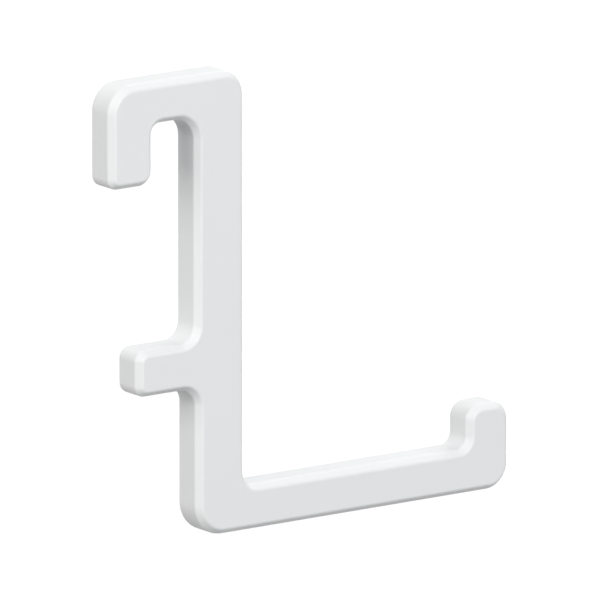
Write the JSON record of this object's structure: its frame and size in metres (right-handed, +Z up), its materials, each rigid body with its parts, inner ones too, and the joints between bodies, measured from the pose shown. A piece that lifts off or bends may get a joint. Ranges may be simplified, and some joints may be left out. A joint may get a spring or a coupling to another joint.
{
  "type": "pegboard hook",
  "caption": "Flat moulded L-shaped hook for a slotted board, with a top prong that drops behind the board, a locating peg and an arm with a raised lip.",
  "frame": {"origin": "middle of the seat under the bridge, where the hook hangs on the lower edge of a board slot", "axes": "+X out of the board towards the user, along the arm; +Z up; Y across the thickness, and the hook is the same on both sides of the XZ plane"},
  "size_m": [0.0541, 0.0044, 0.0522],
  "materials": {
    "white_plastic": "satin, fine moulded grain"
  },
  "bodies": {
    "root": {"hook": "white_plastic"}
  },
  "joints": []
}
